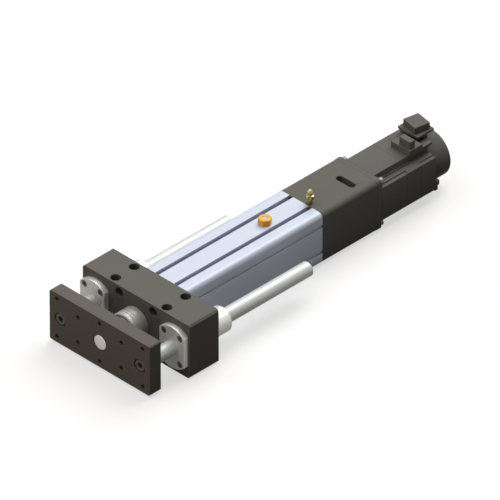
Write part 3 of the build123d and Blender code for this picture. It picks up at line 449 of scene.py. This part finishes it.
zinc = finish("dark_zinc_screws", (0.17, 0.165, 0.15), 0.34, metallic=0.5,
              values={"Scale": 2500.0, "Patch Scale": 200.0}, bump=0.1)
black_oxide = finish("black_oxide_screws", (0.115, 0.112, 0.10), 0.45, metallic=0.3,
                     specular=0.2, values={"Scale": 2500.0, "Patch Scale": 200.0}, bump=0.1)
steel = finish("ground_steel", (0.5, 0.5, 0.49), 0.28, metallic=0.85, pattern="turned",
               values={"Scale": 5000.0}, bump=0.15)
laminated = finish("stator_sheets", (0.17, 0.17, 0.18), 0.5, metallic=0.7, pattern="lines",
                   values={"Stretch": (20.0, 2800.0, 20.0)}, bump=0.6, bump_depth=0.0001)
copper = finish("lacquered_wire", (0.55, 0.22, 0.09), 0.3, metallic=0.8, pattern="turned",
                values={"Scale": 1600.0}, bump=0.7, bump_depth=0.0002, colour_swing=0.15)
plug_orange = finish("orange_plug", (0.78, 0.37, 0.004), 0.34, metallic=0.1, specular=0.4,
                     values={"Scale": 1500.0, "Patch Scale": 200.0}, bump=0.08)
nipple_brass = finish("olive_brass", (0.33, 0.30, 0.13), 0.25, metallic=0.75,
                      values={"Scale": 1500.0, "Patch Scale": 200.0}, bump=0.08)
sintered = finish("sintered_metal", (0.45, 0.45, 0.44), 0.7, metallic=0.4,
                  values={"Scale": 3500.0, "Patch Scale": 900.0}, bump=0.8, bump_depth=0.0002,
                  colour_swing=0.3)
bronze = finish("sintered_bronze", (0.4, 0.25, 0.1), 0.45, metallic=0.8, pattern="turned",
                bump=0.2)
rubber = finish("black_rubber", (0.03, 0.03, 0.03), 0.7, specular=0.3,
                values={"Scale": 1200.0, "Patch Scale": 80.0}, bump=0.2)
wiper_grey = finish("grey_wiper", (0.30, 0.29, 0.27), 0.6, specular=0.2,
                    values={"Scale": 1200.0, "Patch Scale": 80.0}, bump=0.1)
polymer = finish("natural_polymer", (0.7, 0.67, 0.58), 0.45, pattern="turned", bump=0.15)
spider_red = finish("red_elastomer", (0.5, 0.035, 0.025), 0.45,
                    values={"Scale": 1200.0, "Patch Scale": 80.0}, bump=0.1)
magnet_grey = finish("sintered_magnet", (0.16, 0.16, 0.17), 0.5, metallic=0.5,
                     pattern="turned", bump=0.2)
board_green = finish("lacquered_board", (0.02, 0.17, 0.06), 0.25, coat=0.5,
                     values={"Scale": 700.0, "Patch Scale": 300.0}, bump=0.1, colour_swing=0.3)
code_glass = finish("code_glass", (0.75, 0.8, 0.8), 0.08, transmission=0.6,
                    values={"Scale": 300.0, "Patch Scale": 20.0}, bump=0.0)

# A slot's usual material, and the nodes that have another one
MATERIALS = {
    "black_anodised": black,
    "motor_black": motor_black,
    "connector_black": plastic,
    "clear_anodised": extruded,
    "machined_aluminium": machined,
    "bush_nickel": nickel,
    "hard_chrome": chrome_tube,
    "screw_steel": zinc,
    "bright_steel": steel,
    "laminated_steel": laminated,
    "copper_wire": copper,
    "plug_brass": plug_orange,
    "sintered_metal": sintered,
    "bearing_bronze": bronze,
    "seal_rubber": rubber,
    "guide_polymer": polymer,
    "spider_red": spider_red,
    "magnet_grey": magnet_grey,
    "board_green": board_green,
    "code_glass": code_glass,
}
NODE_MATERIALS = {"guide_rod_left": chrome_left, "guide_rod_right": chrome_right,
                  "grease_nipple": nipple_brass, "tool_plate": plate_black}

slot_of = {item["node"]: item["material_slot"] for item in frame["record"]["subparts"]}


def material_of(node):
    """A CAD node's material: its own, or else its slot's."""
    return NODE_MATERIALS.get(node, MATERIALS[slot_of[node]])


def box_of(node):
    """A CAD node's lowest and highest corners, as arrays."""
    low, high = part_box(node)
    return np.array(low), np.array(high)


# Turned pieces

def nose_collar():
    """The collar with its front chamfer, two grooves and flange, its corners softened."""
    low, high = box_of("nose_collar")
    front = low[1]
    back = high[1]
    wiper_bore = 0.0150
    bush_bore = 0.0140
    bore_step = front + 0.007
    rim = 0.0170
    chamfer = 0.0012
    groove = 0.0164
    groove_width = 0.0007
    flange = 0.0230
    flange_front = BLOCK_BACK - 0.005
    spigot = 0.01995
    line = [(front, wiper_bore), (front, rim - chamfer), (front + chamfer, rim)]
    for start in (front + 0.0050, front + 0.0085):
        end = start + groove_width
        line += [(start, rim), (start, groove), (end, groove), (end, rim)]
    line += [(flange_front, rim), (flange_front, flange), (BLOCK_BACK, flange),
             (BLOCK_BACK, spigot), (back, spigot), (back, bush_bore), (bore_step, bush_bore),
             (bore_step, wiper_bore)]
    piece = turned("collar_turned", softened(line, 0.0003), machined,
                   "housing", steps=128)
    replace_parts(piece, "nose_collar")


def rod_wiper():
    """The wiper ring: a flat body and a lip that leans in towards the tube."""
    low, high = box_of("rod_wiper")
    front = low[1]
    back = high[1]
    outside = 0.01495
    inside = 0.0130
    lip = 0.01255
    line = [(front + 0.0006, outside), (front, 0.0143), (front + 0.0003, 0.0129),
            (front - 0.0003, lip), (front + 0.0012, lip), (front + 0.0016, inside),
            (back, inside), (back, outside)]
    piece = turned("wiper_lip", softened(line, 0.0003), wiper_grey, "housing",
                   steps=128)
    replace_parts(piece, "rod_wiper")


def guide_rods():
    """The two rods, each with a chamfer and a small centre mark at its back."""
    radius = 0.0080
    chamfer = 0.0015
    mark_radius = 0.0016
    mark_depth = 0.0014
    for side, x, material in (("left", -ROD_X, chrome_left), ("right", ROD_X, chrome_right)):
        low, high = box_of(f"guide_rod_{side}")
        front = low[1]
        back = high[1]
        line = [(front, 0.0), (front, radius), (back - chamfer, radius),
                (back, radius - chamfer), (back, mark_radius), (back - mark_depth, 0.0)]
        piece = turned(f"guide_rod_ground_{side}", softened(line, 0.0001, closed=False),
                       material, "carriage", centre=(x, AXIS_Z), closed=False)
        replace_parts(piece, f"guide_rod_{side}")


def rod_end():
    """The thrust tube's end: nose, shoulder and plug, with softened edges."""
    low, high = box_of("rod_end")
    front = low[1]
    back = high[1]
    nose = 0.0080
    chamfer = 0.0004
    shoulder = 0.0125
    shoulder_back = PLATE_BACK + 0.004
    plug = 0.00895
    line = [(front, 0.0), (front, nose - chamfer), (front + chamfer, nose), (PLATE_BACK, nose),
            (PLATE_BACK, shoulder), (shoulder_back, shoulder), (shoulder_back, plug),
            (back, plug), (back, 0.0)]
    piece = turned("rod_end_turned", softened(line, 0.00025, closed=False), rod_end_metal,
                   "carriage", closed=False)
    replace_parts(piece, "rod_end")


# The motor with its rear cover

def motor_section(stepped):
    """Outline of the motor's 60 mm body, counterclockwise. Each corner cut has a wall, a
    narrow ledge, a broad band that falls gently, and a foot: a step or a slope."""
    corner = [(19.3, 30.0), (19.3, 22.8), (20.7, 22.8), (20.7, 21.4), (25.8, 20.8)]
    if stepped:
        corner += [(25.8, 19.4)]
    corner += [(30.0, 19.4)]
    points = []
    for x, z, order in ((1, 1, -1), (-1, 1, 1), (-1, -1, -1), (1, -1, 1)):
        points += [(x * px * MM, z * pz * MM) for px, pz in corner[::order]]
    return softened(points, 0.0003, steps=2)


def motor():
    """The motor's two castings and the stator casing between them, with the square flange in
    front and the two clip ears behind."""
    bore = 0.026
    half = 0.03
    clearance = 0.0001
    low, high = box_of("motor_bearings")
    seat = (high[2] - low[2]) / 2 + clearance

    low, high = box_of("motor_front_bell")
    front = low[1]
    spigot = 0.025
    shaft_hole = 0.0090
    flange_front = front + 0.003
    flange_back = flange_front + 0.006
    flange_corner = 0.0055
    seat_back = flange_back + 0.008
    square = softened([(-half, -half), (half, -half), (half, half), (-half, half)],
                      flange_corner, steps=8)
    casing("motor_flange", square, flange_front, flange_back,
           [(shaft_hole, flange_back), (shaft_hole, front), (spigot, front),
            (spigot, flange_front)])
    piece = casing("motor_front_casting", motor_section(True), flange_back, high[1],
                   [(bore, high[1]), (bore, seat_back), (seat, seat_back), (seat, flange_back)])
    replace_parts(piece, "motor_front_bell")

    low, high = box_of("motor_stator_frame")
    piece = casing("motor_stator_casing", motor_section(False), low[1], high[1],
                   [(bore, high[1]), (bore, low[1])])
    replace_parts(piece, "motor_stator_frame")

    low, high = box_of("motor_rear_bell")
    front = low[1]
    back = front + 0.020
    seat_front = back - 0.0082
    piece = casing("motor_rear_casting", motor_section(True), front, back,
                   [(seat, back), (seat, seat_front), (bore, seat_front), (bore, front)])
    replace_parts(piece, "motor_rear_bell")

    ear_inside = 0.0252
    ear_front = back - 0.001
    for name, bottom, height, reach in (("clip_ear_53", -0.0155, 0.0053, 0.0053),
                                        ("clip_ear_46", -0.0206, 0.0046, 0.0032)):
        ear_back = back + reach
        ear = softened([(ear_inside, ear_front), (half, ear_front), (half, ear_back),
                        (ear_inside, ear_back)], 0.0005)
        foot = AXIS_Z + bottom
        stacked(name, [(foot, ear), (foot + height, ear)], motor_black, "housing")


def rear_cover():
    """The round rear cover, a low lip that reaches over the motor, and the narrow pedestal
    of the power connector. The lip's front is bowed: y = front + bow (x / half width)^2."""
    low, high = box_of("encoder_cover")
    lip_front = low[1]
    front = lip_front + 0.0048
    back = high[1]
    radius = 0.0260
    wall = 0.0025
    outside = softened([(front, radius - wall), (front, radius), (back, radius),
                        (back, radius / 2)], 0.0005, closed=False)
    inside = [(back, 0.0), (back - wall, 0.0), (back - wall, radius - wall)]
    piece = turned("cover_round", np.vstack([outside, inside]), motor_black,
                   "housing", steps=144)
    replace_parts(piece, "encoder_cover")

    lip_half = 0.0160
    lip_bow = 0.0013
    lip_back = front + 0.0026
    lip_root = BODY_TOP - 0.0095
    lip_top = BODY_TOP + 0.0027
    edge = 0.0003
    x = np.linspace(-lip_half, lip_half, 25)
    arc = np.column_stack([x, lip_front + lip_bow * (x / lip_half) ** 2])
    lip = np.vstack([arc, [(lip_half, lip_back), (-lip_half, lip_back)]])
    lip_foot = np.column_stack([lip[:, 0], np.maximum(lip[:, 1], front)])
    stacked("cover_lip", [(lip_root, lip_foot), (BODY_TOP, lip_foot), (BODY_TOP, lip),
                          (lip_top - edge, lip), (lip_top, inset(lip, edge))],
            motor_black, "housing")

    post_half = 0.006
    post_front = front - 0.003
    post_back = front + 0.013
    post_root = BODY_TOP - 0.0055
    post_step = lip_top - 0.0002
    post_top = BODY_TOP + 0.0074
    post = softened([(-post_half, post_front), (post_half, post_front),
                     (post_half, post_back), (-post_half, post_back)], 0.001)
    post_foot = np.column_stack([post[:, 0], np.maximum(post[:, 1], front)])
    stacked("cover_pedestal", [(post_root, post_foot), (post_step, post_foot),
                               (post_step, post), (post_top, post)],
            motor_black, "housing")


# Plugs and screws, by rows of height, round radius and half the hexagon's width, in mm

def on_body_top(low, high):
    """The place on the body's top under the middle of a box."""
    centre = (low + high) / 2
    return centre[0], centre[1], BODY_TOP


def grease_nipple():
    """Thread, hexagon, neck and ball head. The hexagon is cut by the cone of its chamfer."""
    hexagon = 4.0
    rows = [(-8.0, 0.0, ROUND), (-8.0, 2.2, ROUND), (-7.6, 2.5, ROUND), (0.0, 2.5, ROUND),
            (0.0, 2.8, ROUND), (5.4, 2.8, ROUND), (5.6, 4.1, hexagon), (5.9, 4.55, hexagon),
            (8.9, 4.55, hexagon), (9.2, 4.1, hexagon), (9.3, 3.1, ROUND), (9.7, 2.5, ROUND),
            (10.4, 2.25, ROUND), (10.9, 2.4, ROUND), (11.6, 2.95, ROUND), (12.3, 3.3, ROUND),
            (13.2, 3.42, ROUND), (14.2, 3.2, ROUND), (15.1, 2.6, ROUND), (15.8, 1.8, ROUND),
            (16.3, 1.1, ROUND), (16.35, 0.75, ROUND), (15.9, 0.6, ROUND), (15.7, 0.0, ROUND)]
    base = on_body_top(*box_of("grease_nipple"))
    piece = surface("grease_nipple_turned", placed(*hexed(rows), base, (0, 0, 1)),
                    nipple_brass, "housing", smooth_angle=32.0)
    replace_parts(piece, "grease_nipple")


def breather_plug():
    """The hexagon plug: a domed chamfer cuts the hexagon, and a pocket holds the disc."""
    low, high = box_of("breather_plug")
    top = (high[2] - BODY_TOP) / MM
    hexagon = (high[1] - low[1]) / 2 / MM
    pocket = top - 2.2
    rows = [(-8.0, 1.5, ROUND), (-8.0, 4.6, ROUND), (-7.5, 5.0, ROUND), (0.0, 5.0, ROUND),
            (0.0, 6.6, hexagon), (0.35, 7.2, hexagon), (top - 1.0, 7.2, hexagon),
            (top - 0.35, 6.5, hexagon), (top, 5.7, hexagon), (top, 3.3, ROUND),
            (top - 0.15, 3.05, ROUND), (pocket, 3.0, ROUND), (pocket, 1.5, ROUND)]
    grid = placed(*hexed(rows, turn=math.pi / 6), on_body_top(low, high), (0, 0, 1))
    piece = surface("breather_plug_turned", grid, plug_orange, "housing",
                    rows_closed=True, smooth_angle=32.0)
    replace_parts(piece, "breather_plug")


def screw_rows(thread, head, head_height, socket, length):
    """Rows of a cap screw from its thread's end to the bottom of its socket, given the radii
    of thread and head and the socket's width. The head's top is at height 0."""
    edge = head * 0.09
    under_head = -head_height
    end = under_head - length
    socket_entry = socket * 0.62
    socket_corner = socket * 0.58
    socket_end = under_head + head_height * 0.45
    return [(end, 0.0, ROUND), (end, thread * 0.85, ROUND), (end + thread * 0.2, thread, ROUND),
            (under_head, thread, ROUND), (under_head, head - edge * 0.4, ROUND),
            (under_head + edge * 0.4, head, ROUND), (-edge, head, ROUND),
            (-edge * 0.3, head - edge * 0.3, ROUND), (0.0, head - edge, ROUND),
            (0.0, socket_entry, ROUND), (-socket * 0.06, socket_corner, socket / 2),
            (socket_end, socket_corner, socket / 2), (socket_end - socket * 0.1, 0.0, ROUND)]


def screw_set(node, size, places, axis, body, material=zinc):
    """The screws of one CAD node, each with a softened head and a hexagon socket. The size
    is that of screw_rows, and a place is the middle of a head's top."""
    shape = hexed(screw_rows(*size), steps=48)
    grids = [placed(*shape, place, axis) for place in places]
    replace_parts(joined(f"{node}_turned", grids, material, body), node)


def corner_places(width, height, y, x=0.0):
    """Four places about the axis, or beside it at x, on a rectangle of that size."""
    return [(x + sx * width / 2, y, AXIS_Z + sz * height / 2) for sx in (-1, 1) for sz in (-1, 1)]


def all_screws():
    """The screws that can be seen: on the bushes, in the block, in the plate, on the motor."""
    towards_front = (0, -1, 0)
    bush_heads_y = -0.0259
    block_heads_y = -0.008
    plate_heads_y = PLATE_FRONT + 0.0006
    motor_heads_y = 0.2952
    body_pitch = 0.0465
    motor_pitch = 0.0495
    bush_places = [place for x in (-ROD_X, ROD_X)
                   for place in corner_places(0.022, 0.031, bush_heads_y, x)]
    screw_set("bush_screws", (2.0, 3.5, 4.0, 3.0, 13.9), bush_places, towards_front, "housing")
    screw_set("block_screws", (3.0, 5.0, 6.0, 5.0, 34.0),
              corner_places(body_pitch, body_pitch, block_heads_y), towards_front, "housing")
    screw_set("rod_screws", (4.0, 6.5, 8.0, 6.0, 22.4),
              [(x, plate_heads_y, AXIS_Z) for x in (-ROD_X, ROD_X)], towards_front, "carriage",
              black_oxide)
    screw_set("motor_screws", (2.5, 3.7, 5.0, 3.5, 18.0),
              corner_places(motor_pitch, motor_pitch, motor_heads_y), (0, 1, 0), "housing")


# The visible model: CAD nodes with their materials, then the pieces that replace some

for node, obj in frame["nodes"].items():
    obj.data.materials.clear()
    obj.data.materials.append(material_of(node))

for node, width, body in (("guide_block", 0.0005, "housing"),
                          ("tool_plate", 0.0004, "carriage"),
                          ("bearing_housing", 0.0003, "housing"),
                          ("coupling_housing", 0.0003, "housing"),
                          ("power_connector_flange", 0.0003, "housing"),
                          ("power_connector", 0.0003, "housing"),
                          ("signal_connector_base", 0.0003, "housing"),
                          ("signal_connector", 0.0003, "housing"),
                          ("profile", 0.0004, "housing"),
                          ("bush_left", 0.0003, "housing"),
                          ("bush_right", 0.0003, "housing")):
    edged(node, width, body)

nose_collar()
rod_wiper()
guide_rods()
rod_end()
motor()
rear_cover()
grease_nipple()
breather_plug()
all_screws()


# Floor, light and camera

def by_ray(tree, ray, usual, special):
    """A value that is special for rays of one kind and usual for all others."""
    path = tree.nodes.new("ShaderNodeLightPath")
    value = tree.nodes.new("ShaderNodeMapRange")
    value.inputs["To Min"].default_value = usual
    value.inputs["To Max"].default_value = special
    tree.links.new(path.outputs[ray], value.inputs["Value"])
    return value.outputs["Result"]


def floor():
    """A pale floor. The camera sees it nearly white, with a light shadow. Reflections see it
    dimmed, and it throws little light back at the object."""
    half = 6.0
    gap = 0.0002
    z = cad_box[0][2] - gap
    corners = [(-half, -half, z), (half, -half, z), (half, half, z), (-half, half, z)]
    mesh = bpy.data.meshes.new("floor")
    mesh.from_pydata(corners, [], [(0, 1, 2, 3)])
    plane = bpy.data.objects.new("floor", mesh)
    bpy.context.scene.collection.objects.link(plane)
    material = bpy.data.materials.new("pale_floor")
    material.use_nodes = True
    tree = material.node_tree
    shader = tree.nodes["Principled BSDF"]
    shader.inputs["Roughness"].default_value = 0.9
    shader.inputs["Specular IOR Level"].default_value = 0.0
    shader.inputs["Emission Color"].default_value = (1.0, 1.0, 0.995, 1.0)
    mix = tree.nodes.new("ShaderNodeMix")
    mix.data_type = "RGBA"
    mix.inputs["A"].default_value = (0.385, 0.378, 0.375, 1.0)
    mix.inputs["B"].default_value = (0.05, 0.05, 0.05, 1.0)
    tree.links.new(by_ray(tree, "Is Diffuse Ray", 0.0, 1.0), mix.inputs["Factor"])
    tree.links.new(mix.outputs["Result"], shader.inputs["Base Color"])
    glow = by_ray(tree, "Is Diffuse Ray", 0.60, 0.0)
    dimming = by_ray(tree, "Is Glossy Ray", 1.0, 0.25)
    tree.links.new(calculated(tree, "MULTIPLY", glow, dimming),
                   shader.inputs["Emission Strength"])
    mesh.materials.append(material)


def world():
    """Soft even light. The camera and reflections see white, diffuse light is weaker."""
    scene_world = bpy.data.worlds.new("soft_studio")
    bpy.context.scene.world = scene_world
    scene_world.use_nodes = True
    tree = scene_world.node_tree
    background = tree.nodes["Background"]
    background.inputs["Color"].default_value = (1.0, 1.0, 1.0, 1.0)
    tree.links.new(by_ray(tree, "Is Diffuse Ray", 1.0, 0.06), background.inputs["Strength"])


def lamps():
    """Broad suns from high in front and high behind, and a weak warm one from the front.
    Each has a strength, a colour, the angle it fills in degrees and the way towards it."""
    for name, energy, colour, angle, towards in (
            ("key", 1.4, (1.0, 1.0, 1.0), 60.0, (-0.30, -0.22, 0.93)),
            ("back", 2.48, (1.0, 1.0, 1.0), 50.0, (-0.14, 0.60, 0.79)),
            ("fill", 0.68, (1.0, 0.74, 0.60), 50.0, (0.0, -1.0, 0.12))):
        light = bpy.data.lights.new(name, "SUN")
        light.energy = energy
        light.color = colour
        light.angle = math.radians(angle)
        sun = bpy.data.objects.new(name, light)
        bpy.context.scene.collection.objects.link(sun)
        sun.rotation_euler = Vector(towards).to_track_quat("Z", "Y").to_euler()


def camera():
    """A long lens at the photograph's angle: 45 degrees round and 35.26 degrees up."""
    width_seen = 0.4899
    target = Vector((0.0, 0.1370, AXIS_Z + 0.0071))
    lens = bpy.data.cameras.new("camera")
    lens.lens = 1300.0
    lens.sensor_width = 36.0
    lens.clip_end = 200.0
    eye = bpy.data.objects.new("camera", lens)
    bpy.context.scene.collection.objects.link(eye)
    distance = width_seen * lens.lens / lens.sensor_width
    away = Vector((1.0, -1.0, 1.0)).normalized()
    eye.location = target + away * distance
    eye.rotation_euler = away.to_track_quat("Z", "Y").to_euler()
    bpy.context.scene.camera = eye


floor()
world()
lamps()
camera()
bpy.context.scene.view_settings.view_transform = "Standard"
